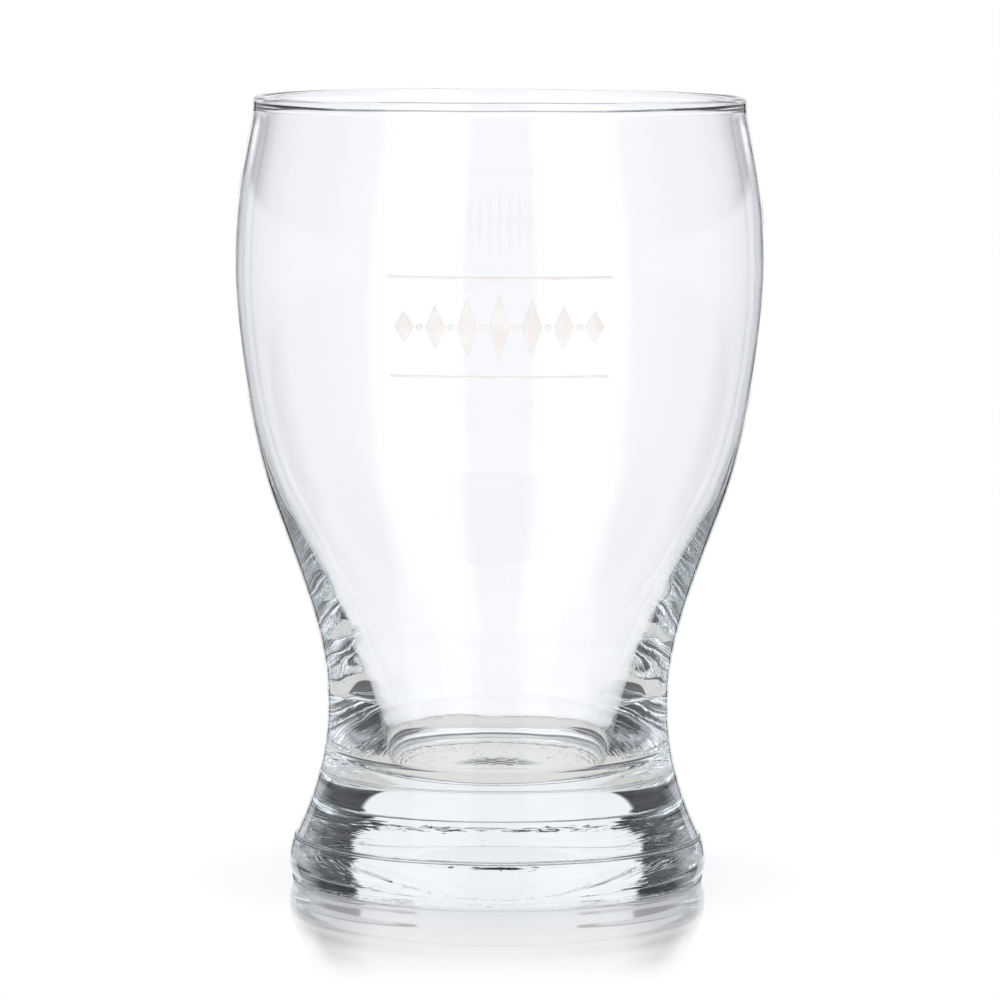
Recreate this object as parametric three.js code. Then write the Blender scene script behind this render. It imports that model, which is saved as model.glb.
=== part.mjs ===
// Bellied juice tumbler of clear soda-lime glass: a thin bowl that swells below the rim, draws in to a
// waist and stands on a heavy solid foot. A small frieze of fired enamel is printed on the front of the belly.
// Millimetres, +Z up. The origin is the centre of the resting ring, and the printed front faces -Y.

import * as THREE from 'three';

// Outside of the glass, from the rim down
const GLASS_HEIGHT = 110;
const RIM_RADIUS = 34.4;
const LIP_THICKNESS = 1.5;
const BELLY_RADIUS = 37.1;
const BELLY_HEIGHT = 86.5;
const TAPER_RADIUS = 31.4;
const TAPER_HEIGHT = 53;
const TAPER_LEAN = 20.3;
const WAIST_RADIUS = 23.95;
const WAIST_HEIGHT = 24.5;
const FLARE_LEAN = 25.5;
const FOOT_RADIUS = 29.25;
const FOOT_EDGE_HEIGHT = 3.1;
const FOOT_EDGE_ROUNDING = 7;
const FOOT_EDGE_LEAN = 20;

// Underside: a flat ring that bears on the table, round a shallow push-up
const RING_CORNER = 0.8;
const RESTING_RING_WIDTH = 9;
const PUSH_UP_HEIGHT = 1.15;

// Inside of the bowl
const BELLY_WALL = 1.1;
const LIP_BEAD_DEPTH = 0.6;
const TAPER_WALL = 1.45;
const INNER_TAPER_LEAN = 24;
const WELL_RADIUS = 16.8;
const WELL_HEIGHT = 17.5;
const WELL_LEAN = 9.8;
const FLOOR_RADIUS = 4.2;
const FLOOR_HEIGHT = 13.5;

// Printed frieze: upright lozenges and dots between two rules
const PRINT_CLEARANCE = 0.2;
const PRINT_THICKNESS = 0.2;
const PRINT_BELOW_BELLY = 6.5;
const RULE_LENGTH = 31;
const RULE_WIDTH = 0.4;
const RULE_SPACING = 13.4;
const LOZENGE_COUNT = 7;
const LOZENGE_PITCH = 4.4;
const LOZENGE_WIDTH = 2.8;
const MIDDLE_LOZENGE_HEIGHT = 9.6;
const LOZENGE_STEP_DOWN = 1.7;
const DOT_RADIUS = 0.5;

// Fineness of the facets
const TURN_SEGMENTS = 64;
const WALL_STEPS = 5;
const ROUND_STEPS = 4;
const RULE_STEPS = 14;
const DOT_SIDES = 10;

// How far each stretch of wall keeps its lean before it bends away, as a share of the stretch's height
const FULLNESS = {
  foot: 0.05,
  waistDown: 0.54,
  waistUp: 0.31,
  taperDown: 0.5,
  taperUp: 0.28,
  bellyDown: 0.23,
  bellyUp: 0.58,
  rim: 0.19,
  innerTaperDown: 0.4,
  well: 0.45,
  floorSide: 0.72,
  floorMiddle: 0.44,
};

const clearGlass = new THREE.MeshStandardMaterial({
  color: 0xe9efee,
  roughness: 0.03,
  metalness: 0,
  transparent: true,
  opacity: 0.35,
});
const creamEnamel = new THREE.MeshStandardMaterial({ color: 0xefe6da, roughness: 0.5, metalness: 0 });

const radians = THREE.MathUtils.degToRad;

// A station is a place on the wall: its radius, its height and its lean from upright, in degrees.
// The lean is positive where the radius grows upward.
function station(radius, height, lean = 0) {
  return { radius, height, slope: Math.tan(radians(lean)) };
}

// A stretch of wall between two stations leaves and arrives along their leans.
function wallStretch(from, to, fullFrom, fullTo) {
  const rise = to.height - from.height;
  return new THREE.CubicBezierCurve(
    new THREE.Vector2(from.radius, from.height),
    new THREE.Vector2(from.radius + fullFrom * rise * from.slope, from.height + fullFrom * rise),
    new THREE.Vector2(to.radius - fullTo * rise * to.slope, to.height - fullTo * rise),
    new THREE.Vector2(to.radius, to.height),
  );
}

function roundStretch(centreRadius, centreHeight, rounding, fromAngle, toAngle) {
  const clockwise = toAngle < fromAngle;
  return new THREE.EllipseCurve(
    centreRadius, centreHeight, rounding, rounding, fromAngle, toAngle, clockwise);
}

// Outer wall, from the corner of the resting ring up to the rim. The rounded edge of the foot leans less than
// the flare above it, so a faint crease runs round the foot where they meet.
const edgeCentre = FOOT_RADIUS - FOOT_EDGE_ROUNDING;
const edgeLowAngle = -Math.asin((FOOT_EDGE_HEIGHT - RING_CORNER) / FOOT_EDGE_ROUNDING);
const footEdge = roundStretch(
  edgeCentre, FOOT_EDGE_HEIGHT, FOOT_EDGE_ROUNDING, edgeLowAngle, radians(FOOT_EDGE_LEAN));
const footEdgeTop = footEdge.getPoint(1);
const footEdgeLow = footEdge.getPoint(0);

const flareAt = station(footEdgeTop.x, footEdgeTop.y, -FLARE_LEAN);
const waistAt = station(WAIST_RADIUS, WAIST_HEIGHT);
const taperAt = station(TAPER_RADIUS, TAPER_HEIGHT, TAPER_LEAN);
const bellyAt = station(BELLY_RADIUS, BELLY_HEIGHT);
const lipRounding = LIP_THICKNESS / 2;
const rimAt = station(RIM_RADIUS, GLASS_HEIGHT - lipRounding);

const lowerBelly = wallStretch(taperAt, bellyAt, FULLNESS.taperUp, FULLNESS.bellyDown);
const upperBelly = wallStretch(bellyAt, rimAt, FULLNESS.bellyUp, FULLNESS.rim);
const outerWall = [
  wallStretch(flareAt, waistAt, FULLNESS.foot, FULLNESS.waistDown),
  wallStretch(waistAt, taperAt, FULLNESS.waistUp, FULLNESS.taperDown),
  lowerBelly,
  upperBelly,
];

// Inner wall, from the rim bead down to the middle of the floor
const lipInside = station(RIM_RADIUS - LIP_THICKNESS, rimAt.height);
const innerBellyAt = station(BELLY_RADIUS - BELLY_WALL, BELLY_HEIGHT);
const belowBead = outerRadiusAt(rimAt.height - LIP_BEAD_DEPTH) - BELLY_WALL;
const innerTaperAt = station(TAPER_RADIUS - TAPER_WALL, TAPER_HEIGHT, INNER_TAPER_LEAN);
const wellAt = station(WELL_RADIUS, WELL_HEIGHT, WELL_LEAN);

const innerWall = [
  new THREE.QuadraticBezierCurve(
    new THREE.Vector2(lipInside.radius, lipInside.height),
    new THREE.Vector2(lipInside.radius, lipInside.height - LIP_BEAD_DEPTH / 2),
    new THREE.Vector2(belowBead, lipInside.height - LIP_BEAD_DEPTH),
  ),
  wallStretch(
    beadFoot(), innerBellyAt, FULLNESS.rim, FULLNESS.bellyUp),
  wallStretch(innerBellyAt, innerTaperAt, FULLNESS.bellyDown, FULLNESS.taperUp),
  wallStretch(innerTaperAt, wellAt, FULLNESS.innerTaperDown, FULLNESS.well),
];

// The station where the bead has run out into the plain wall, leaning as the outside does there.
function beadFoot() {
  const height = rimAt.height - LIP_BEAD_DEPTH;
  const step = LIP_BEAD_DEPTH / 10;
  const slope = (outerRadiusAt(height + step) - outerRadiusAt(height - step)) / (2 * step);
  return { radius: belowBead, height, slope };
}

const wellDepth = WELL_HEIGHT - FLOOR_HEIGHT;
const wellTurn = new THREE.CubicBezierCurve(
  new THREE.Vector2(WELL_RADIUS, WELL_HEIGHT),
  new THREE.Vector2(
    WELL_RADIUS - FULLNESS.floorSide * wellDepth * wellAt.slope,
    WELL_HEIGHT - FULLNESS.floorSide * wellDepth),
  new THREE.Vector2(FLOOR_RADIUS + FULLNESS.floorMiddle * (WELL_RADIUS - FLOOR_RADIUS), FLOOR_HEIGHT),
  new THREE.Vector2(FLOOR_RADIUS, FLOOR_HEIGHT),
);

// Outer radius of the bowl at a height between the taper and the rim, found by halving
function outerRadiusAt(height) {
  const stretch = height < BELLY_HEIGHT ? lowerBelly : upperBelly;
  let low = 0;
  let high = 1;
  for (let turn = 0; turn < 40; turn += 1) {
    const middle = (low + high) / 2;
    if (stretch.getPoint(middle).y < height) {
      low = middle;
    } else {
      high = middle;
    }
  }
  return stretch.getPoint(low).x;
}

// Underside, from the middle of the push-up out to the corner of the resting ring
function underside() {
  const ringOuter = footEdgeLow.x - RING_CORNER;
  const ringInner = ringOuter - RESTING_RING_WIDTH;
  const pushUp = new THREE.CubicBezierCurve(
    new THREE.Vector2(0, PUSH_UP_HEIGHT),
    new THREE.Vector2(ringInner / 2, PUSH_UP_HEIGHT),
    new THREE.Vector2(ringInner / 2, 0),
    new THREE.Vector2(ringInner, 0),
  );
  const corner = new THREE.QuadraticBezierCurve(
    new THREE.Vector2(ringOuter, 0),
    new THREE.Vector2(footEdgeLow.x, 0),
    footEdgeLow,
  );
  return [...pushUp.getPoints(ROUND_STEPS), ...corner.getPoints(ROUND_STEPS / 2)];
}

function glassBody() {
  const lip = roundStretch(RIM_RADIUS - lipRounding, rimAt.height, lipRounding, 0, Math.PI);
  const outline = [
    ...underside(),
    ...footEdge.getPoints(ROUND_STEPS),
    ...outerWall.flatMap((stretch) => stretch.getPoints(WALL_STEPS)),
    ...lip.getPoints(ROUND_STEPS),
    ...innerWall.flatMap((stretch) => stretch.getPoints(WALL_STEPS)),
    ...wellTurn.getPoints(WALL_STEPS),
    new THREE.Vector2(0, FLOOR_HEIGHT),
  ];
  const isNew = (point, index) => index === 0 || point.distanceTo(outline[index - 1]) > 1e-6;
  const geometry = new THREE.LatheGeometry(outline.filter(isNew), TURN_SEGMENTS);
  geometry.rotateX(Math.PI / 2);
  return geometry;
}

// Enamel is drawn flat, x to the right and y up from the frieze's middle, then wrapped round the belly.
function wrapRoundBelly(geometry) {
  const positions = geometry.attributes.position;
  const middleHeight = BELLY_HEIGHT - PRINT_BELOW_BELLY;
  for (let index = 0; index < positions.count; index += 1) {
    const turn = positions.getX(index) / BELLY_RADIUS;
    const height = middleHeight + positions.getY(index);
    const radius = outerRadiusAt(height) + PRINT_CLEARANCE + positions.getZ(index);
    positions.setXYZ(index, radius * Math.sin(turn), -radius * Math.cos(turn), height);
  }
  geometry.computeVertexNormals();
  return geometry;
}

function printedRule(middleY) {
  const strip = new THREE.BoxGeometry(RULE_LENGTH, RULE_WIDTH, PRINT_THICKNESS, RULE_STEPS);
  strip.translate(0, middleY, PRINT_THICKNESS / 2);
  return wrapRoundBelly(strip);
}

function printedShape(outline) {
  const shape = new THREE.Shape(outline);
  return wrapRoundBelly(new THREE.ExtrudeGeometry(shape, { depth: PRINT_THICKNESS, bevelEnabled: false }));
}

function printedLozenge(middleX, height) {
  return printedShape([
    new THREE.Vector2(middleX + LOZENGE_WIDTH / 2, 0),
    new THREE.Vector2(middleX, height / 2),
    new THREE.Vector2(middleX - LOZENGE_WIDTH / 2, 0),
    new THREE.Vector2(middleX, -height / 2),
  ]);
}

function printedDot(middleX) {
  const circle = new THREE.EllipseCurve(middleX, 0, DOT_RADIUS, DOT_RADIUS);
  return printedShape(circle.getPoints(DOT_SIDES).slice(0, DOT_SIDES));
}

function named(name, geometry, material) {
  const mesh = new THREE.Mesh(geometry, material);
  mesh.name = name;
  return mesh;
}

const tumbler = new THREE.Group();
tumbler.add(named('glass_body', glassBody(), clearGlass));

const frieze = new THREE.Group();
tumbler.add(frieze);
frieze.add(named('print_rule_upper', printedRule(RULE_SPACING / 2), creamEnamel));
frieze.add(named('print_rule_lower', printedRule(-RULE_SPACING / 2), creamEnamel));
const middlePlace = (LOZENGE_COUNT - 1) / 2;
for (let place = 0; place < LOZENGE_COUNT; place += 1) {
  const fromMiddle = place - middlePlace;
  const height = MIDDLE_LOZENGE_HEIGHT - LOZENGE_STEP_DOWN * Math.abs(fromMiddle);
  const lozenge = printedLozenge(fromMiddle * LOZENGE_PITCH, height);
  frieze.add(named(`print_lozenge_${place + 1}`, lozenge, creamEnamel));
}
for (let place = 1; place < LOZENGE_COUNT; place += 1) {
  const dot = printedDot((place - middlePlace - 0.5) * LOZENGE_PITCH);
  frieze.add(named(`print_dot_${place}`, dot, creamEnamel));
}

export default tumbler;
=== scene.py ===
# %% [markdown]
# A juice tumbler of clear glass with a printed frieze
#
# The real tumbler is one piece of clear soda-lime glass: a thin bowl that swells below the rim, draws
# in to a waist and stands on a heavy solid foot. A small frieze of cream enamel is printed on the
# front of the belly and fired on. The CAD frame holds each solid at its true size, with flat facets
# and perfect walls. This lesson dresses it: the glass becomes a smooth turned mesh with the small
# faults of real moulded glass, and each patch of enamel becomes a thin film that hugs the belly.

# %% Load the frame
import math

import bmesh
import bpy
import numpy as np
from mathutils import Matrix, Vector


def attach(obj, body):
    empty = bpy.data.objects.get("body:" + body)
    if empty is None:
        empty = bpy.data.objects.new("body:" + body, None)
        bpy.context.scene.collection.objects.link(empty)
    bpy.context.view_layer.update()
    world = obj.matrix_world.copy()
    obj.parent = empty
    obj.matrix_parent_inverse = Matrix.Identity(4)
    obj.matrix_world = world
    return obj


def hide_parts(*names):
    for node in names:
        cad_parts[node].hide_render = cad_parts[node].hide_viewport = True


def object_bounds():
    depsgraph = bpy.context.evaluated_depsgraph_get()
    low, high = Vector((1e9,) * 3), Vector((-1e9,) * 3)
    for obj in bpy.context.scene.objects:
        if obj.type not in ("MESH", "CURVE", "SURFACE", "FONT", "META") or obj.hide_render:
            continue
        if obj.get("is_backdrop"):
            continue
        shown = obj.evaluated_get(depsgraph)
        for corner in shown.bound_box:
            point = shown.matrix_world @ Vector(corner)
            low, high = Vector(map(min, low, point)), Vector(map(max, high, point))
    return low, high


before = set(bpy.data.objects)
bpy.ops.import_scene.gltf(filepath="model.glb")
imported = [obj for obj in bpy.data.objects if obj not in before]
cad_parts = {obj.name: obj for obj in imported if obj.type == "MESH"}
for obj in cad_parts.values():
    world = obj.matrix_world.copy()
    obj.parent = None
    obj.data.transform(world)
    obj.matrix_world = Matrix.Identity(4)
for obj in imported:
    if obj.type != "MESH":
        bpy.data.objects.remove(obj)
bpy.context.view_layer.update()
print("CAD nodes:", len(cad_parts))

# %% [markdown]
# The camera
#
# The photograph looks a little down on the glass from almost a metre away. The rim and the foot show
# as two ellipses of different openness. How far each is open gives the camera's height, and the
# difference between them gives its distance, so both could be worked out instead of tried by eye. The
# glass leans by about a fifth of a degree in the picture, which is the camera's roll.

# %% Camera
CAMERA_DISTANCE = 0.857
CAMERA_HEIGHT = 0.1357
CAMERA_ASIDE = 0.00018
LOOK_DOWN = 5.485
FIELD_OF_VIEW = 9.31
CAMERA_ROLL = 0.22

scene = bpy.context.scene
camera_data = bpy.data.cameras.new("photo_camera")
camera_data.sensor_width = 36
camera_data.lens = 18 / math.tan(math.radians(FIELD_OF_VIEW / 2))
camera_data.clip_start = 0.01
camera = bpy.data.objects.new("photo_camera", camera_data)
scene.collection.objects.link(camera)
stand = Matrix.Translation((CAMERA_ASIDE, -CAMERA_DISTANCE, CAMERA_HEIGHT))
tilt = Matrix.Rotation(math.radians(90 - LOOK_DOWN), 4, "X")
roll = Matrix.Rotation(math.radians(CAMERA_ROLL), 4, "Z")
camera.matrix_world = stand @ tilt @ roll
scene.camera = camera
print("lens in mm:", round(camera_data.lens, 1))

# %% [markdown]
# Small helpers for node trees
#
# Every finish and the studio itself are node trees. Six helpers keep them short: one adds a node and
# fills its inputs, one works out a sum, one fades smoothly between two numbers, one mixes two
# colours, one mixes two shaders, and one makes a painted light.

# %% Node helpers


def add_node(tree, kind, inputs=None, **settings):
    """Adds a node, sets its options, and gives each named input a value or a link."""
    node = tree.nodes.new(kind)
    for name, value in settings.items():
        setattr(node, name, value)
    for name, value in (inputs or {}).items():
        if isinstance(value, bpy.types.NodeSocket):
            tree.links.new(value, node.inputs[name])
        else:
            node.inputs[name].default_value = value
    return node


def calculate(tree, operation, *values):
    """Works out one operation, such as MULTIPLY, on numbers or links."""
    return add_node(tree, "ShaderNodeMath", dict(enumerate(values)), operation=operation).outputs[0]


def fade(tree, value, start, end, at_start=0.0, at_end=1.0):
    """Runs smoothly from one level to another while the value goes from start to end."""
    levels = {"Value": value, "From Min": start, "From Max": end, "To Min": at_start, "To Max": at_end}
    node = add_node(tree, "ShaderNodeMapRange", levels, interpolation_type="SMOOTHSTEP")
    return node.outputs["Result"]


def mix_colour(tree, share, first, second):
    """Goes from the first colour to the second as the share goes from 0 to 1."""
    node = add_node(tree, "ShaderNodeMix", {0: share, 6: first, 7: second}, data_type="RGBA")
    return node.outputs[2]


def mix_shader(tree, share, first, second):
    """Goes from the first shader to the second as the share goes from 0 to 1."""
    return add_node(tree, "ShaderNodeMixShader", {0: share, 1: first, 2: second}).outputs[0]


def glowing(tree, colour):
    """A painted light of one colour."""
    return add_node(tree, "ShaderNodeEmission", {"Color": colour}).outputs[0]


print("node helpers ready")

# %% [markdown]
# The studio
#
# Clear glass has almost no colour of its own. What shows is the room, bent by the walls, so the room
# has to be the photographer's. A white panel stands behind the glass, dark cards stand on both sides
# of it to draw the edges, dimmer and then paler walls lead round to two softboxes beside the camera,
# and a soft light hangs above. Real panels could be modelled, but painting them on the world by
# direction is lighter and has no edges to catch by accident. The camera itself sees plain white.

# %% Walls of the studio
WHITE = (1, 1, 1, 1)
WHITE_PANEL = (1.02, 1.03, 1.06)
WHITE_STRIP = (0.985, 0.995, 1.03)
DARK_CARD = (0.018, 0.018, 0.022)
DIM_WALL = (0.42, 0.43, 0.46)
SIDE_WALL = (0.66, 0.68, 0.71)
SOFTBOX = (1.45, 1.46, 1.5)
CAMERA_WALL = (0.72, 0.73, 0.78)

# Degrees from straight behind the glass, and what stands there on both sides
BESIDE_CAMERA = ((120, SIDE_WALL), (126, SOFTBOX), (160, SOFTBOX), (166, CAMERA_WALL), (180, CAMERA_WALL))
PANEL = ((0, WHITE_PANEL), (31, WHITE_PANEL), (32.5, DARK_CARD))
LOWER_WALLS = (*PANEL, (48, DARK_CARD), (60, DIM_WALL), (100, DIM_WALL), *BESIDE_CAMERA)
UPPER_WALLS = (*PANEL, (92, DARK_CARD), (106, SIDE_WALL), *BESIDE_CAMERA)

# The same painted on the table as its reflection: a white strip that widens towards the panel,
# its dark edge, and the grey room beyond
STRIP = ((0, WHITE_STRIP), (15.5, WHITE_STRIP), (16.5, DARK_CARD))
STRIP_WALLS = (*STRIP, (19.5, DARK_CARD), (22, SIDE_WALL), *BESIDE_CAMERA)
print("stops of the lower walls:", len(LOWER_WALLS), "and of the table's strip:", len(STRIP_WALLS))

# %% Helpers for painting by direction


def degrees_from_back(tree, across, away):
    """How far a direction lies from straight behind the glass, as a share of the half turn."""
    turn = calculate(tree, "ARCTAN2", across, away)
    return calculate(tree, "DIVIDE", calculate(tree, "ABSOLUTE", turn), math.pi)


def wall_colours(tree, share, walls):
    """The colour of the walls at that share of the half turn."""
    ramp = add_node(tree, "ShaderNodeValToRGB", {0: share})
    stops = ramp.color_ramp.elements
    while len(stops) < len(walls):
        stops.new(0.5)
    for stop, (degrees, colour) in zip(stops, walls):
        stop.position = degrees / 180
        stop.color = (*colour, 1)
    return ramp.outputs["Color"]


def sine(degrees):
    """The sine of an angle in degrees, which is the height of a direction at that elevation."""
    return math.sin(math.radians(degrees))


def elevation_fade(tree, upward, low, high):
    """Goes from 0 to 1 while a direction climbs between two elevations."""
    return fade(tree, upward, sine(low), sine(high))


print("height of a direction at 30 degrees:", round(sine(30), 3))

# %% World
CEILING_LIGHT = (0.8, 0.8, 0.8, 1)
PANEL_TOP = 38.5
CEILING_START = 48
CEILING_FULL = 58
PANEL_EDGE = 0.7
DARK_CARDS_WIDEN = (17, 24)
TABLE_STRIP_ENDS = (1.5, 3)

world = bpy.data.worlds.new("studio")
scene.world = world
world.use_nodes = True
tree = world.node_tree
tree.nodes.clear()
direction = add_node(tree, "ShaderNodeTexCoord").outputs["Generated"]
parts = add_node(tree, "ShaderNodeSeparateXYZ", {0: direction}).outputs
share = degrees_from_back(tree, parts["X"], parts["Y"])
lower = wall_colours(tree, share, LOWER_WALLS)
upper = wall_colours(tree, share, UPPER_WALLS)
walls = mix_colour(tree, elevation_fade(tree, parts["Z"], *DARK_CARDS_WIDEN), lower, upper)
beyond_table = wall_colours(tree, share, STRIP_WALLS)
walls = mix_colour(tree, elevation_fade(tree, parts["Z"], *TABLE_STRIP_ENDS), beyond_table, walls)
above_panel = elevation_fade(tree, parts["Z"], PANEL_TOP - PANEL_EDGE, PANEL_TOP + PANEL_EDGE)
walls = mix_colour(tree, above_panel, walls, (*DARK_CARD, 1))
overhead = elevation_fade(tree, parts["Z"], CEILING_START, CEILING_FULL)
room = mix_colour(tree, overhead, walls, CEILING_LIGHT)
seen_directly = add_node(tree, "ShaderNodeLightPath").outputs["Is Camera Ray"]
backdrop = mix_colour(tree, seen_directly, room, WHITE)
background = add_node(tree, "ShaderNodeBackground", {"Color": backdrop})
add_node(tree, "ShaderNodeOutputWorld", {"Surface": background.outputs[0]})
print("panel reaches", PANEL_TOP, "degrees up, the ceiling light starts at", CEILING_START)

# %% [markdown]
# The table
#
# The glass stands on white polished acrylic. The camera sees it as plain white, with a soft mirror
# image of the foot that fades within a few centimetres. A pale shadow is painted in front of the
# foot, where the panel behind the glass, the main light, would cast it. Seen through the glass, the
# same table looks different. A painted reflection shows a white strip that widens towards the panel
# between dark edges, a thin painted dark line of shade lies where the foot touches, and a painted
# glow lies on the spot under the foot, where light gathers. A lit table could give all this, but its
# light takes far longer to settle than a painted one.

# %% Table as the camera sees it
MIRROR_STRENGTH = 0.46
MIRROR_ROUGHNESS = 0.07
MIRROR_FROM = 0.032
MIRROR_TO = 0.09
SHADOW_TONE = (0.9, 0.9, 0.9, 1)
SHADOW_SHARE = 0.2
SHADOW_REACH = (0.03, 0.05)
# Painted shadow on the table in front of the foot: its shade in the middle and at the sides, and where it
# reaches
PAINTED_CAST_SHADE = (0.77, 0.77, 0.78, 1)
PAINTED_CAST_SHADE_AT_SIDES = (0.54, 0.54, 0.55, 1)
CAST_FROM = -0.034
CAST_TO = -0.088
CAST_WIDEST = -0.01
CAST_BACK = (-0.008, 0.004)
CAST_FAR_WIDTH = 0.0215
CAST_NEAR_WIDTH = 0.0287
CAST_EDGE = (-0.0022, 0.0006)
CAST_SIDES = (0.015, 0.022)

table_surface = bpy.data.materials.new("white_acrylic_table")
table_surface.use_nodes = True
tree = table_surface.node_tree
tree.nodes.clear()
place = add_node(tree, "ShaderNodeNewGeometry").outputs["Position"]
distance = add_node(tree, "ShaderNodeVectorMath", {0: place}, operation="LENGTH").outputs["Value"]
spot = add_node(tree, "ShaderNodeSeparateXYZ", {0: place}).outputs
aside = calculate(tree, "ABSOLUTE", spot["X"])
# The painted shadow is a patch in front of the foot that narrows and fades towards the camera
painted_shadow_width = fade(tree, spot["Y"], CAST_TO, CAST_WIDEST, CAST_FAR_WIDTH, CAST_NEAR_WIDTH)
in_painted_shadow = fade(tree, calculate(tree, "SUBTRACT", aside, painted_shadow_width), *CAST_EDGE, 1, 0)
in_front = fade(tree, spot["Y"], *CAST_BACK, 1, 0)
painted_shadow_depth = calculate(tree, "MULTIPLY", fade(tree, spot["Y"], CAST_TO, CAST_FROM), in_front)
painted_shadow_tone = mix_colour(tree, fade(tree, aside, *CAST_SIDES), PAINTED_CAST_SHADE, PAINTED_CAST_SHADE_AT_SIDES)
painted_shadow_colour = mix_colour(tree, calculate(tree, "MULTIPLY", in_painted_shadow, painted_shadow_depth), WHITE, painted_shadow_tone)
# White light for the camera, with the painted shadow mixed into its colour
white_and_painted_shadow = glowing(tree, painted_shadow_colour)
shadowed = add_node(tree, "ShaderNodeBsdfDiffuse", {"Color": SHADOW_TONE}).outputs[0]
top_seen = mix_shader(tree, fade(tree, distance, *SHADOW_REACH, 1 - SHADOW_SHARE, 1), shadowed, white_and_painted_shadow)
sheen = {"Color": WHITE, "Roughness": MIRROR_ROUGHNESS}
soft_mirror = add_node(tree, "ShaderNodeBsdfGlossy", sheen).outputs[0]
mirrored = fade(tree, distance, MIRROR_FROM, MIRROR_TO, MIRROR_STRENGTH, 0)
top_seen = mix_shader(tree, mirrored, top_seen, soft_mirror)
print("mirror image ends", MIRROR_TO, "m from the axis")

# %% Table seen through the glass
# Painted light: a warm grey glow on the table under the foot, and a painted dark line of shade where the
# foot touches
UNDER_FOOT_PAINTED_LIGHT = (0.77, 0.76, 0.73, 1)
UNDER_EDGE = (0.0283, 0.0288)
CONTACT_SHADE = (0.12, 0.12, 0.13, 1)
CONTACT_EDGE = (0.0294, 0.0299)
CONTACT_SIDES = (0.012, 0.018)
CONTACT_WIDENS = 0.004
NEAR_TABLE_END = (0.042, 0.05)
STRIP_HALF_WIDTH = 0.03
STRIP_START = (-0.02, 0.01)
BEHIND_GLASS = (-0.01, 0.02)
GRAZING_SLANT = (0.42, 0.5)

# Painted reflection: seen through the glass, the table glows with a painted image of the white panel and of
# the dark cards' edges, and near the foot it turns to a real mirror at a grazing slant
panel_light = glowing(tree, (*WHITE_STRIP, 1))
mirror = add_node(tree, "ShaderNodeBsdfGlossy", {"Color": WHITE, "Roughness": 0}).outputs[0]
slant = add_node(tree, "ShaderNodeLayerWeight", {"Blend": 0.5}).outputs["Facing"]
grazing = fade(tree, slant, *GRAZING_SLANT)
near_table = mix_shader(tree, grazing, panel_light, mirror)

half_width = fade(tree, spot["Y"], *STRIP_START, 0, STRIP_HALF_WIDTH)
past_strip = calculate(tree, "MAXIMUM", calculate(tree, "SUBTRACT", aside, half_width), 0)
strip_share = degrees_from_back(tree, past_strip, spot["Y"])
painted_far_reflection = glowing(tree, wall_colours(tree, strip_share, STRIP_WALLS))
far_share = fade(tree, spot["Y"], *BEHIND_GLASS, 1, grazing)
painted_far_reflection = mix_shader(tree, far_share, panel_light, painted_far_reflection)

through = mix_shader(tree, fade(tree, distance, *NEAR_TABLE_END), near_table, painted_far_reflection)
# The painted shade of the contact line and the painted glow under the foot
through = mix_shader(tree, fade(tree, distance, *CONTACT_EDGE), glowing(tree, CONTACT_SHADE), through)
reach = calculate(tree, "ADD", distance, fade(tree, aside, *CONTACT_SIDES, 0, CONTACT_WIDENS))
through = mix_shader(tree, fade(tree, reach, *UNDER_EDGE), glowing(tree, UNDER_FOOT_PAINTED_LIGHT), through)
seen_directly = add_node(tree, "ShaderNodeLightPath").outputs["Is Camera Ray"]
surface = mix_shader(tree, seen_directly, through, top_seen)
add_node(tree, "ShaderNodeOutputMaterial", {"Surface": surface})
print("table nodes:", len(tree.nodes))

# %% Table top
TABLE_RADIUS = 4
TABLE_DROP = 0.0001
TABLE_POINTS = 128

table_place = (0, 0, -TABLE_DROP)
bpy.ops.mesh.primitive_circle_add(
    vertices=TABLE_POINTS, radius=TABLE_RADIUS, fill_type="NGON", location=table_place
)
table = bpy.context.object
table.name = "table_top"
table.data.materials.append(table_surface)
table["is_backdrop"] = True
print("table radius in m:", TABLE_RADIUS)

# %% [markdown]
# The turned outline of the glass
#
# A tumbler is round, so one outline from the middle of the underside, up the outside, over the rim
# and down to the middle of the bowl's floor says everything about it. It could be drawn as a curve
# and spun with a modifier. Here the outline is worked out from the same few stations as the CAD part,
# in millimetres, so the two agree, and each stretch gets as many rows as its bends need.

# %% Stations
GLASS_HEIGHT = 110
RIM_RADIUS = 34.4
LIP_THICKNESS = 1.5
BELLY_RADIUS = 37.1
BELLY_HEIGHT = 86.5
TAPER_RADIUS = 31.4
TAPER_HEIGHT = 53
TAPER_LEAN = 20.3
WAIST_RADIUS = 23.95
WAIST_HEIGHT = 24.5
FLARE_LEAN = 25.5
FOOT_RADIUS = 29.25
FOOT_EDGE_HEIGHT = 3.1
FOOT_EDGE_ROUNDING = 7
FOOT_EDGE_LEAN = 20
SEAM_WIDTH = 1.3
RING_CORNER = 0.8
RESTING_RING_WIDTH = 9
PUSH_UP_HEIGHT = 1.15
print("stations from", GLASS_HEIGHT, "mm at the rim down to", FOOT_EDGE_HEIGHT, "mm at the foot's edge")

# %% Outline helpers


def bend(start, towards_start, towards_end, end, rows):
    """A smooth bend between two points, pulled towards two others."""
    along = np.linspace(0, 1, rows)[:, None]
    back = 1 - along
    corners = [np.array(point, float) for point in (start, towards_start, towards_end, end)]
    shares = (back**3, 3 * back**2 * along, 3 * back * along**2, along**3)
    return sum(share * corner for share, corner in zip(shares, corners))


def station(radius, height, lean=0.0):
    """A place on the wall, with its lean from upright in degrees."""
    return radius, height, math.tan(math.radians(lean))


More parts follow.
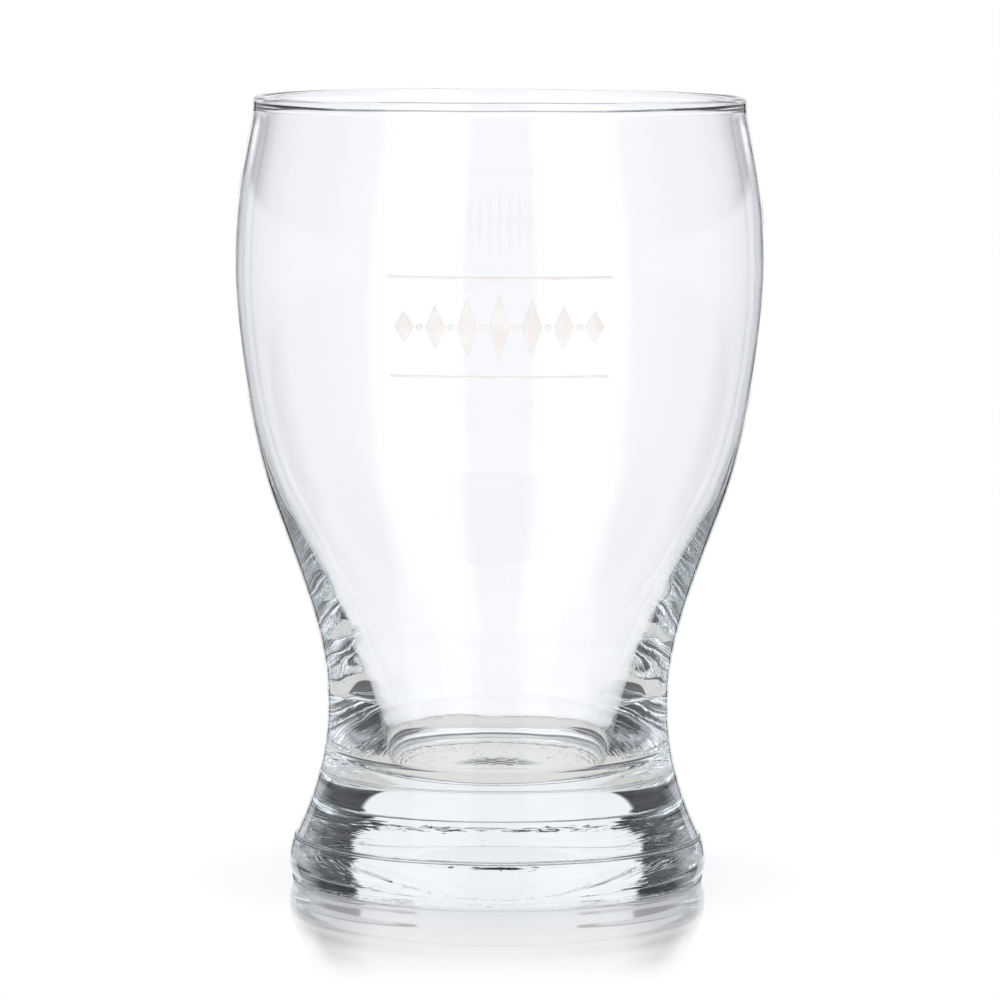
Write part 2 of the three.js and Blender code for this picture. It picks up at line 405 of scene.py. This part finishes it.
def wall_stretch(first, last, full_first, full_last, rows):
    """A stretch of wall that leaves and arrives along the leans of its two stations."""
    rise = last[1] - first[1]
    leave = (first[0] + full_first * rise * first[2], first[1] + full_first * rise)
    arrive = (last[0] - full_last * rise * last[2], last[1] - full_last * rise)
    return bend(first[:2], leave, arrive, last[:2], rows)


def round_stretch(centre, rounding, first_angle, last_angle, rows):
    """An arc of the outline, its angles in degrees."""
    angles = np.radians(np.linspace(first_angle, last_angle, rows))
    return np.stack([centre[0] + rounding * np.cos(angles), centre[1] + rounding * np.sin(angles)], 1)


taper_widening = station(TAPER_RADIUS, TAPER_HEIGHT, TAPER_LEAN)[2]
print("the taper widens by", round(taper_widening, 3), "mm for each mm up")

# %% Outside of the glass
# How full each stretch of wall is where it leaves its first station and where it arrives at its last
FLARE_FULLNESS = (0.05, 0.54)
WAIST_FULLNESS = (0.31, 0.5)
LOWER_BELLY_FULLNESS = (0.28, 0.23)
UPPER_BELLY_FULLNESS = (0.58, 0.19)

edge_centre = (FOOT_RADIUS - FOOT_EDGE_ROUNDING, FOOT_EDGE_HEIGHT)
edge_low = -math.degrees(math.asin((FOOT_EDGE_HEIGHT - RING_CORNER) / FOOT_EDGE_ROUNDING))
foot_edge = round_stretch(edge_centre, FOOT_EDGE_ROUNDING, edge_low, FOOT_EDGE_LEAN, 16)
seam_lean = math.radians(FLARE_LEAN)
seam_along = np.linspace(0, SEAM_WIDTH, 22)
seam = foot_edge[-1] + np.stack([-seam_along * math.sin(seam_lean), seam_along * math.cos(seam_lean)], 1)
flare_at = station(*seam[-1], -FLARE_LEAN)
waist_at = station(WAIST_RADIUS, WAIST_HEIGHT)
taper_at = station(TAPER_RADIUS, TAPER_HEIGHT, TAPER_LEAN)
belly_at = station(BELLY_RADIUS, BELLY_HEIGHT)
lip_rounding = LIP_THICKNESS / 2
rim_at = station(RIM_RADIUS, GLASS_HEIGHT - lip_rounding)
flare = wall_stretch(flare_at, waist_at, *FLARE_FULLNESS, 24)
waist = wall_stretch(waist_at, taper_at, *WAIST_FULLNESS, 22)
lower_belly = wall_stretch(taper_at, belly_at, *LOWER_BELLY_FULLNESS, 18)
upper_belly = wall_stretch(belly_at, rim_at, *UPPER_BELLY_FULLNESS, 17)
lip = round_stretch((RIM_RADIUS - lip_rounding, rim_at[1]), lip_rounding, 0, 180, 13)
print("belly", BELLY_RADIUS, "mm, waist", WAIST_RADIUS, "mm, foot", FOOT_RADIUS, "mm in radius")

# %% Underside of the foot
ring_outer = foot_edge[0][0] - RING_CORNER
ring_inner = ring_outer - RESTING_RING_WIDTH
half_ring = ring_inner / 2
push_up = bend((0, PUSH_UP_HEIGHT), (half_ring, PUSH_UP_HEIGHT), (half_ring, 0), (ring_inner, 0), 36)
ring = np.stack([np.linspace(ring_inner, ring_outer, 26), np.zeros(26)], 1)
ring_edge = (foot_edge[0][0], 0)
corner = bend((ring_outer, 0), ring_edge, ring_edge, foot_edge[0], 6)
print("resting ring from", round(ring_inner, 1), "to", round(ring_outer, 1), "mm")

# %% Inside of the bowl
BELLY_WALL = 1.1
LIP_BEAD_DEPTH = 0.6
TAPER_WALL = 1.45
INNER_TAPER_LEAN = 24
WELL_RADIUS = 16.8
WELL_HEIGHT = 17.5
WELL_LEAN = 9.8
FLOOR_RADIUS = 4.2
FLOOR_HEIGHT = 13.5
INNER_WAIST_FULLNESS = (0.4, 0.45)
WELL_SIDE_FULLNESS = 0.72
WELL_FLOOR_FULLNESS = 0.44


def outer_radius(height):
    """Radius of the bowl's outside at a height above the taper."""
    bowl = np.concatenate([lower_belly, upper_belly[1:]])
    return np.interp(height, bowl[:, 1], bowl[:, 0])


bead_height = rim_at[1] - LIP_BEAD_DEPTH
bead_radius = float(outer_radius(bead_height)) - BELLY_WALL
bead_slope = float(outer_radius(bead_height + 0.1) - outer_radius(bead_height - 0.1)) / 0.2
lip_inside = (RIM_RADIUS - LIP_THICKNESS, rim_at[1])
bead_pull = (lip_inside[0], rim_at[1] - LIP_BEAD_DEPTH / 2)
bead = bend(lip_inside, bead_pull, bead_pull, (bead_radius, bead_height), 8)
inner_belly_at = station(BELLY_RADIUS - BELLY_WALL, BELLY_HEIGHT)
inner_taper_at = station(TAPER_RADIUS - TAPER_WALL, TAPER_HEIGHT, INNER_TAPER_LEAN)
well_at = station(WELL_RADIUS, WELL_HEIGHT, WELL_LEAN)
bead_at = (bead_radius, bead_height, bead_slope)
inner_upper = wall_stretch(bead_at, inner_belly_at, *UPPER_BELLY_FULLNESS[::-1], 14)
inner_lower = wall_stretch(inner_belly_at, inner_taper_at, *LOWER_BELLY_FULLNESS[::-1], 18)
inner_waist = wall_stretch(inner_taper_at, well_at, *INNER_WAIST_FULLNESS, 38)
well_depth = WELL_HEIGHT - FLOOR_HEIGHT
side_drop = WELL_SIDE_FULLNESS * well_depth
well_side = (WELL_RADIUS - side_drop * well_at[2], WELL_HEIGHT - side_drop)
well_foot = (FLOOR_RADIUS + WELL_FLOOR_FULLNESS * (WELL_RADIUS - FLOOR_RADIUS), FLOOR_HEIGHT)
well_turn = bend(well_at[:2], well_side, well_foot, (FLOOR_RADIUS, FLOOR_HEIGHT), 26)
bowl_floor = np.stack([np.linspace(FLOOR_RADIUS, 0, 14), np.full(14, FLOOR_HEIGHT)], 1)
print("wall", BELLY_WALL, "mm at the belly,", TAPER_WALL, "mm at the taper")

# %% Whole outline
under_rows = [push_up, ring, corner]
outside_rows = [foot_edge, seam, flare, waist, lower_belly, upper_belly, lip]
inside_rows = [bead, inner_upper, inner_lower, inner_waist, well_turn, bowl_floor]
outline = [under_rows[0]]
for stretch in under_rows[1:] + outside_rows + inside_rows:
    outline.append(stretch[1:])
outline = np.concatenate(outline)
under_count = sum(len(stretch) for stretch in under_rows) - 2
top_row = int(np.argmax(outline[:, 1]))
radius = outline[:, 0]
height = outline[:, 1]
print("outline rows:", len(outline))

# %% [markdown]
# The small faults of moulded glass
#
# A perfect lathe looks like a rendering. Real glass keeps traces of how it was made: the plunger and
# the cooling leave slow ripples on the inside of the thick wall, the fire-polished rim is never quite
# level, the floor of the bowl has a faint wrinkle where the gob was cut, and a seam with fine press
# lines runs round above the foot's edge. The resting ring is stippled and knurled in saw-teeth so
# that the hot foot doesn't crack on the conveyor, and use has worn the knurl off at the front. These
# faults could be painted as bump, but they bend light through a thick foot, so they are moved in the
# mesh itself. Most are a tenth of a millimetre deep or less, and the saw-teeth about a third.

# %% Ripples of the thick wall
SEGMENTS = 330
THICK_WALL_STARTS = (20, 27)
THICK_WALL_ENDS = (42, 58)
angle = np.linspace(0, 2 * math.pi, SEGMENTS, endpoint=False)[None, :]
row_radius = radius[:, None]
row_height = height[:, None]
inside = (np.arange(len(outline)) > top_row)[:, None]

# Waves round the turn, radians climbed per millimetre, start, and depth in millimetres
WALL_RIPPLES = (
    (2, 1.05, 0.4, 0.005),
    (3, -1.6, 1.9, 0.003),
    (5, 2.4, 3.1, 0.0015),
    (9, 0.4, 5.2, 0.009),
    (13, -0.55, 2.0, 0.006),
    (22, 0.9, 0.8, 0.0025),
)


def smooth_step(value, start, end):
    """Runs smoothly from 0 to 1 while the value goes from start to end."""
    share = np.clip((value - start) / (end - start), 0, 1)
    return share * share * (3 - 2 * share)


ripple = np.zeros((len(outline), SEGMENTS))
for waves, climb, start, depth in WALL_RIPPLES:
    ripple += depth * np.sin(waves * angle + climb * row_height + start)
thick_wall = smooth_step(row_height, *THICK_WALL_STARTS) * (1 - smooth_step(row_height, *THICK_WALL_ENDS))
moved_radius = row_radius + np.where(inside, ripple * thick_wall, 0)
print("deepest ripple in mm:", round(float(np.abs(moved_radius - row_radius).max()), 3))

# %% Wrinkle, press lines and rim
WRINKLE_DEPTH = 0.03
WRINKLE_SPREAD = 4.5
# Radians per millimetre into the picture and across it, each with its start
WRINKLE_INTO = (4.1, 1.3)
WRINKLE_ACROSS = (2.3, 0.4)
SEAM_PLAIN = 0.36
PRESS_LINE_DEPTH = 0.09
PRESS_LINE_WAVER = 0.2
NEAR_RIM = (101, 109)
RIM_SWAY = 0.09
RIM_OVAL = 0.08
# Waves round the turn, start, and share of the sway
RIM_WAVES = ((2, 0.5, 0.6), (5, 2.2, 0.4), (11, 0, 0.25))

into_wave = np.sin(WRINKLE_INTO[0] * row_radius * np.cos(angle) + WRINKLE_INTO[1])
across_wave = np.sin(WRINKLE_ACROSS[0] * row_radius * np.sin(angle) + WRINKLE_ACROSS[1])
wrinkle = into_wave * across_wave
on_floor = inside * np.exp(-((row_radius / WRINKLE_SPREAD) ** 2)) * (row_height < WELL_HEIGHT)
moved_height = row_height + WRINKLE_DEPTH * wrinkle * on_floor

# Fine press lines in the upper part of the seam round the foot
seam_share = (row_height - seam[0][1]) / (seam[-1][1] - seam[0][1])
line_share = np.clip((seam_share - SEAM_PLAIN) / (1 - SEAM_PLAIN), 0, 1)
on_seam = ~inside * 4 * line_share * (1 - line_share)
press_lines = PRESS_LINE_DEPTH * on_seam * np.sin(4 * math.pi * line_share)
seam_lift = press_lines * (1 - PRESS_LINE_WAVER + PRESS_LINE_WAVER * np.sin(3 * angle + 0.7))
moved_radius = moved_radius + seam_lift

near_rim = smooth_step(row_height, *NEAR_RIM)
rim_sway = sum(share * np.sin(waves * angle + start) for waves, start, share in RIM_WAVES)
moved_height = moved_height + RIM_SWAY * rim_sway * near_rim
moved_radius = moved_radius + RIM_OVAL * near_rim * np.sin(3 * angle + 1.1)
print("widest nudge in mm:", round(float(np.abs(moved_radius - row_radius).max()), 3))

# %% Stipple on the resting ring
SPECKS = 160
SPECK_RADIUS = (4, 19)
SPECK_SIZE = (0.25, 0.5)
SPECK_DEPTH = (0.01, 0.04)
KNURL_INNER = 18.2
KNURL_OUTER = 21.6
KNURL_PITCH = 1.7
TOOTH_DEPTH = 0.34
TOOTH_SPREAD = 0.08
TOOTH_LIMITS = (0.05, 0.55)
WORN_FRONT = (-0.2, 0.4)
GRAIN_DEPTH = 0.035
GRAIN_STARTS = (12.5, 15)
GRAIN_ENDS = (24, 26)
ROUGHER_RING = 0.5
ROUGHER_KNURL = 1.6
luck = np.random.default_rng(11)
under_radius = row_radius[:under_count]
in_knurl = (under_radius > KNURL_INNER) * (under_radius < KNURL_OUTER)
ramp = in_knurl * ((under_radius - KNURL_INNER) % KNURL_PITCH) / KNURL_PITCH
tooth = np.clip(luck.normal(TOOTH_DEPTH, TOOTH_SPREAD, SEGMENTS), *TOOTH_LIMITS)
grain = np.abs(luck.normal(0, GRAIN_DEPTH, (under_count, SEGMENTS)))
on_ring = smooth_step(under_radius, *GRAIN_STARTS) * (1 - smooth_step(under_radius, *GRAIN_ENDS))
at_back = smooth_step(-np.cos(angle), *WORN_FRONT)
rougher = 1 + at_back * (ROUGHER_RING + ROUGHER_KNURL * in_knurl)
stipple = ramp * tooth * at_back + on_ring * grain * rougher
for place in range(SPECKS):
    speck_angle = luck.uniform(0, 2 * math.pi)
    speck_radius = luck.uniform(*SPECK_RADIUS)
    speck_size = luck.uniform(*SPECK_SIZE)
    speck_depth = luck.uniform(*SPECK_DEPTH)
    turn = (angle - speck_angle + math.pi) % (2 * math.pi) - math.pi
    away = np.hypot(turn * speck_radius, under_radius - speck_radius) / speck_size
    stipple = np.maximum(stipple, speck_depth * np.clip(1 - away**2, 0, 1))
moved_height[:under_count] += stipple
print("specks:", SPECKS, "deepest stipple in mm:", round(float(stipple.max()), 3))

# %% [markdown]
# From rows to a mesh
#
# The outline is swept round in even steps. A Screw modifier would do it for a perfect lathe, but here
# every ring of points has been nudged, so the points are laid out as a grid, rows by steps, and
# joined by quads. The two ends of the outline lie on the axis, so each end row shrinks to one point
# and closes with a fan of triangles.

# %% Glass mesh
grid_radius = np.broadcast_to(moved_radius, (len(outline), SEGMENTS))[1:-1]
grid_height = np.broadcast_to(moved_height, (len(outline), SEGMENTS))[1:-1]
grid = np.stack([grid_radius * np.sin(angle), -grid_radius * np.cos(angle), grid_height], 2)
points = np.concatenate([
    [[0, 0, moved_height[0].mean()]],
    grid.reshape(-1, 3),
    [[0, 0, moved_height[-1].mean()]],
])
grid_rows = len(grid)
step = np.arange(SEGMENTS)
next_step = (step + 1) % SEGMENTS
faces = []
for row in range(grid_rows - 1):
    low = 1 + row * SEGMENTS
    high = low + SEGMENTS
    faces += np.stack([low + step, low + next_step, high + next_step, high + step], 1).tolist()
last_row = 1 + (grid_rows - 1) * SEGMENTS
pairs = list(zip(step.tolist(), next_step.tolist()))
faces += [[0, 1 + after, 1 + now] for now, after in pairs]
top_point = len(points) - 1
faces += [[top_point, last_row + now, last_row + after] for now, after in pairs]

glass_mesh = bpy.data.meshes.new("tumbler_glass")
glass_mesh.from_pydata((points / 1000).tolist(), [], faces)
glass_mesh.update()
glass_mesh.shade_smooth()
tumbler_glass = bpy.data.objects.new("tumbler_glass", glass_mesh)
scene.collection.objects.link(tumbler_glass)
print("glass faces:", len(glass_mesh.polygons))

# %% [markdown]
# Marks of handling
#
# Both the glass and the enamel have been picked up and wiped. That leaves broad faint smears and a
# few fine lines that are a little less polished than the rest. Since two finishes need it, it is
# built once as a node group that puts out a roughness, and each finish sets its own levels.

# %% Handling group
SMEAR_EDGE = (0.52, 0.72)
LINE_STRETCH = (900, 900, 60)
LINE_EDGE = (0.66, 0.74)

handling = bpy.data.node_groups.new("handling_marks", "ShaderNodeTree")
for socket_name in ("Clean Roughness", "Marked Roughness", "Smear Scale"):
    handling.interface.new_socket(socket_name, in_out="INPUT", socket_type="NodeSocketFloat")
handling.interface.new_socket("Roughness", in_out="OUTPUT", socket_type="NodeSocketFloat")
wanted = add_node(handling, "NodeGroupInput").outputs
place = add_node(handling, "ShaderNodeTexCoord").outputs["Object"]
smear_inputs = {"Vector": place, "Scale": wanted["Smear Scale"], "Detail": 4, "Roughness": 0.6}
smear_noise = add_node(handling, "ShaderNodeTexNoise", smear_inputs)
smears = fade(handling, smear_noise.outputs["Fac"], *SMEAR_EDGE)
stretched = add_node(handling, "ShaderNodeMapping", {"Vector": place, "Scale": LINE_STRETCH}).outputs[0]
line_noise = add_node(handling, "ShaderNodeTexNoise", {"Vector": stretched, "Scale": 1, "Detail": 2})
lines = fade(handling, line_noise.outputs["Fac"], *LINE_EDGE)
marks = calculate(handling, "MAXIMUM", smears, lines)
levels = {"Value": marks, "To Min": wanted["Clean Roughness"], "To Max": wanted["Marked Roughness"]}
roughness = add_node(handling, "ShaderNodeMapRange", levels).outputs["Result"]
add_node(handling, "NodeGroupOutput", {"Roughness": roughness})


def handled_roughness(tree, clean, marked, smear_scale):
    """Places the group in a finish and gives its roughness."""
    group = add_node(tree, "ShaderNodeGroup", node_tree=handling)
    group.inputs["Clean Roughness"].default_value = clean
    group.inputs["Marked Roughness"].default_value = marked
    group.inputs["Smear Scale"].default_value = smear_scale
    return group.outputs["Roughness"]


print("group sockets:", [item.name for item in handling.interface.items_tree])

# %% [markdown]
# Clear soda-lime glass
#
# Soda-lime glass bends light a little more than water does, with an index of 1.52. It looks
# colourless in a thin wall, and greenish grey where a long way through the foot soaks up some red.
# That comes from a plain absorption inside the body. Light is caught and thrown about inside the foot
# many times before it gets out, so the path tracer is allowed forty bounces. With the usual twelve
# the foot turns black. The press lines in the seam are less polished and are darkened with a painted
# grey shade, so a mask of fine rings sets their colour and roughness.

# %% Mask of the press lines
SEAM_LINE_PITCH = 0.0003
SEAM_LINE_EDGE = (-0.3, 0.5)
SEAM_EDGE = 0.0001

clear_glass = bpy.data.materials.new("clear_soda_lime_glass")
clear_glass.use_nodes = True
tree = clear_glass.node_tree
place = add_node(tree, "ShaderNodeTexCoord").outputs["Object"]
level = add_node(tree, "ShaderNodeSeparateXYZ", {0: place}).outputs["Z"]
wave = calculate(tree, "SINE", calculate(tree, "MULTIPLY", level, 2 * math.pi / SEAM_LINE_PITCH))
seam_high = seam[-1][1] / 1000
seam_low = seam[0][1] / 1000 + SEAM_PLAIN * (seam[-1][1] - seam[0][1]) / 1000
above_seam_foot = fade(tree, level, seam_low, seam_low + SEAM_EDGE)
below_seam_top = fade(tree, level, seam_high - SEAM_EDGE, seam_high, 1, 0)
in_seam = calculate(tree, "MULTIPLY", above_seam_foot, below_seam_top)
# The mask of the press lines serves both their roughness and their painted grey shade
rough_and_shaded_lines = calculate(tree, "MULTIPLY", fade(tree, wave, *SEAM_LINE_EDGE), in_seam)
print("press lines from", round(1000 * seam_low, 2), "to", round(1000 * seam_high, 2), "mm")

# %% Glass finish
GLASS_INDEX = 1.52
GLASS_TINT = (0.67, 0.738, 0.75, 1)
TINT_DENSITY = 8.5
SEAM_ROUGHNESS = 0.5
SEAM_PAINTED_SHADE = (0.3, 0.32, 0.34, 1)
POLISH_SCALE = 140
POLISH_DEPTH = 0.00003
LIGHT_BOUNCES = 40

shader = tree.nodes["Principled BSDF"]
shader.inputs["IOR"].default_value = GLASS_INDEX
shader.inputs["Transmission Weight"].default_value = 1
# Painted shade: the press lines are darkened grey in the base colour
tree.links.new(mix_colour(tree, rough_and_shaded_lines, WHITE, SEAM_PAINTED_SHADE), shader.inputs["Base Color"])
handled = handled_roughness(tree, 0.0, 0.02, 70)
roughness = calculate(tree, "MULTIPLY_ADD", rough_and_shaded_lines, SEAM_ROUGHNESS, handled)
tree.links.new(roughness, shader.inputs["Roughness"])
polish_noise = add_node(tree, "ShaderNodeTexNoise", {"Vector": place, "Scale": POLISH_SCALE, "Detail": 2})
polish = {"Height": polish_noise.outputs["Fac"], "Strength": 0.4, "Distance": POLISH_DEPTH}
polish_bump = add_node(tree, "ShaderNodeBump", polish)
tree.links.new(polish_bump.outputs["Normal"], shader.inputs["Normal"])
tint = add_node(tree, "ShaderNodeVolumeAbsorption", {"Color": GLASS_TINT, "Density": TINT_DENSITY})
tree.links.new(tint.outputs[0], tree.nodes["Material Output"].inputs["Volume"])
tumbler_glass.data.materials.append(clear_glass)
for kind in ("max_bounces", "transmission_bounces", "glossy_bounces"):
    setattr(scene.cycles, kind, LIGHT_BOUNCES)
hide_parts("glass_body")
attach(tumbler_glass, "root")
print("light bounces:", LIGHT_BOUNCES)

# %% [markdown]
# The printed frieze
#
# The enamel is ink of ground glass, pressed through a screen and fired. It stands about a twentieth
# of a millimetre proud, with soft edges where it melted. A picture could be painted in the glass
# material, but a film with a real edge catches the light as the print does, and it stays a separate
# piece like its CAD solid. Each shape is drawn flat as rings that step inwards from its outline, then
# wrapped round the belly.

# %% Wrap round the belly
PRINT_MIDDLE = BELLY_HEIGHT - 6.5
FILM_CLEARANCE = 0.03


def wrap(flat):
    """Wraps points drawn flat, x across, y up and lift outwards, round the front of the belly."""
    turn = flat[:, 0] / BELLY_RADIUS
    level = PRINT_MIDDLE + flat[:, 1]
    out = outer_radius(level) + FILM_CLEARANCE + flat[:, 2]
    return np.stack([out * np.sin(turn), -out * np.cos(turn), level], 1) / 1000


print("middle of the print at", PRINT_MIDDLE, "mm")

# %% Film helpers
FILM_THICKNESS = 0.08
# How far each ring lies in from the outline, and how high, as a share of the film's thickness
FILM_RINGS = ((0.0, 0.0), (0.0, 0.45), (0.04, 0.82), (0.1, 1.0))


def close_middle(name, mesh):
    """Welds the rings that have shrunk to a line or a point, and links the piece."""
    work = bmesh.new()
    work.from_mesh(mesh)
    bmesh.ops.remove_doubles(work, verts=work.verts, dist=2e-6)
    bmesh.ops.dissolve_degenerate(work, edges=work.edges, dist=1e-6)
    bmesh.ops.recalc_face_normals(work, faces=work.faces)
    work.to_mesh(mesh)
    work.free()
    mesh.shade_smooth()
    piece = bpy.data.objects.new(name, mesh)
    scene.collection.objects.link(piece)
    return piece


def enamel_film(name, inset_outline, deepest):
    """Builds one film from a function that gives its outline at any inset, out to the deepest."""
    insets = [inset for inset, _ in FILM_RINGS] + [0.5 * (deepest + FILM_RINGS[-1][0]), deepest]
    lifts = [share for _, share in FILM_RINGS] + [1.0, 1.0]
    rings = [np.column_stack([inset_outline(inset), np.full(len(inset_outline(0)), lift * FILM_THICKNESS)])
             for inset, lift in zip(insets, lifts)]
    count = len(rings[0])
    back = np.column_stack([inset_outline(deepest), np.zeros(count)])
    rings = [back] + rings
    faces = []
    for ring_place in range(len(rings) - 1):
        for now in range(count):
            after = (now + 1) % count
            low = ring_place * count
            faces.append((low + now, low + after, low + count + after, low + count + now))
    mesh = bpy.data.meshes.new(name)
    mesh.from_pydata(wrap(np.concatenate(rings)).tolist(), [], faces)
    return close_middle(name, mesh)


print("film stands", FILM_CLEARANCE + FILM_THICKNESS, "mm proud")

# %% Frieze shapes
RULE_LENGTH = 31
RULE_WIDTH = 0.4
RULE_SPACING = 13.4
LOZENGE_COUNT = 7
LOZENGE_PITCH = 4.4
LOZENGE_WIDTH = 2.8
MIDDLE_LOZENGE_HEIGHT = 9.6
LOZENGE_STEP_DOWN = 1.7
DOT_RADIUS = 0.5


def rule_outline(middle, inset):
    """A long strip with its sides sampled every millimetre."""
    half = RULE_LENGTH / 2 - min(inset, RULE_WIDTH / 2)
    side = RULE_WIDTH / 2 - inset
    across = np.linspace(-half, half, 32)
    lower = np.column_stack([across, np.full(32, middle - side)])
    upper = np.column_stack([across[::-1], np.full(32, middle + side)])
    return np.concatenate([lower, upper])


def lozenge_outline(middle, tall, inset):
    """A diamond with eight points to a side, its tips a little rounded by the melt."""
    half_wide = LOZENGE_WIDTH / 2
    half_tall = tall / 2
    narrowing = 1 - inset * math.hypot(half_wide, half_tall) / (half_wide * half_tall)
    tips = np.array([(half_wide, 0), (0, half_tall), (-half_wide, 0), (0, -half_tall)])
    share = np.linspace(0.015, 0.985, 8)[:, None]
    sides = [tips[place] * (1 - share) + tips[(place + 1) % 4] * share for place in range(4)]
    return np.concatenate(sides) * narrowing + (middle, 0)


def dot_outline(middle, inset):
    """A round dot of twenty-four points."""
    turns = np.linspace(0, 2 * math.pi, 24, endpoint=False)
    return np.column_stack([np.cos(turns), np.sin(turns)]) * (DOT_RADIUS - inset) + (middle, 0)


print("frieze:", LOZENGE_COUNT, "lozenges and", LOZENGE_COUNT - 1, "dots between two rules")

# %% Frieze pieces
enamel_pieces = {}
for end, middle in (("upper", RULE_SPACING / 2), ("lower", -RULE_SPACING / 2)):
    film = enamel_film(f"enamel_rule_{end}", lambda inset: rule_outline(middle, inset), RULE_WIDTH / 2)
    enamel_pieces[f"print_rule_{end}"] = film
middle_place = (LOZENGE_COUNT - 1) / 2
for place in range(LOZENGE_COUNT):
    away = place - middle_place
    tall = MIDDLE_LOZENGE_HEIGHT - LOZENGE_STEP_DOWN * abs(away)
    deepest = LOZENGE_WIDTH * tall / 2 / math.hypot(LOZENGE_WIDTH, tall)
    film = enamel_film(
        f"enamel_lozenge_{place + 1}",
        lambda inset: lozenge_outline(away * LOZENGE_PITCH, tall, inset),
        deepest,
    )
    enamel_pieces[f"print_lozenge_{place + 1}"] = film
for place in range(1, LOZENGE_COUNT):
    middle = (place - middle_place - 0.5) * LOZENGE_PITCH
    film = enamel_film(f"enamel_dot_{place}", lambda inset: dot_outline(middle, inset), DOT_RADIUS)
    enamel_pieces[f"print_dot_{place}"] = film
print("enamel pieces:", len(enamel_pieces))

# %% [markdown]
# Fired cream enamel
#
# Fired enamel is a satin cream, a little mottled where the ink lay thicker, with a fine grain from
# the screen's mesh. Noise at two scales gives the mottle and the grain, the grain also lifts the
# surface a few thousandths of a millimetre, and the shared handling marks change its gloss.

# %% Enamel finish
THIN_INK = (0.94, 0.9, 0.85, 1)
THICK_INK = (0.89, 0.835, 0.775, 1)
SCREEN_GRAIN = (0.97, 0.95, 0.92, 1)
MOTTLE_SCALE = 420
MOTTLE_EDGE = (0.35, 0.68)
GRAIN_SCALE = 4200
GRAIN_EDGE = (0.62, 0.72)
GRAIN_SHARE = 0.35
GRAIN_HEIGHT = 0.00002

cream_enamel = bpy.data.materials.new("fired_cream_enamel")
cream_enamel.use_nodes = True
tree = cream_enamel.node_tree
shader = tree.nodes["Principled BSDF"]
place = add_node(tree, "ShaderNodeTexCoord").outputs["Object"]
mottle_noise = add_node(tree, "ShaderNodeTexNoise", {"Vector": place, "Scale": MOTTLE_SCALE, "Detail": 3})
grain_noise = add_node(tree, "ShaderNodeTexNoise", {"Vector": place, "Scale": GRAIN_SCALE, "Detail": 2})
mottle = mottle_noise.outputs["Fac"]
grain = grain_noise.outputs["Fac"]
ink = mix_colour(tree, fade(tree, mottle, *MOTTLE_EDGE), THIN_INK, THICK_INK)
ink = mix_colour(tree, fade(tree, grain, *GRAIN_EDGE, 0, GRAIN_SHARE), ink, SCREEN_GRAIN)
tree.links.new(ink, shader.inputs["Base Color"])
tree.links.new(handled_roughness(tree, 0.38, 0.55, 160), shader.inputs["Roughness"])
grain_bump = add_node(tree, "ShaderNodeBump", {"Height": grain, "Strength": 0.35, "Distance": GRAIN_HEIGHT})
tree.links.new(grain_bump.outputs["Normal"], shader.inputs["Normal"])
for node_name, film in enamel_pieces.items():
    film.data.materials.append(cream_enamel)
    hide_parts(node_name)
    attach(film, "root")
print("enamel on", len(enamel_pieces), "pieces")

# %% [markdown]
#
# The dressed part has to stay the size of the CAD part, so the box of what is drawn is printed.

# %% Finish
scene.view_settings.view_transform = "Standard"
low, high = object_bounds()
print("visual box in mm:", [round(1000 * side, 1) for side in high - low])
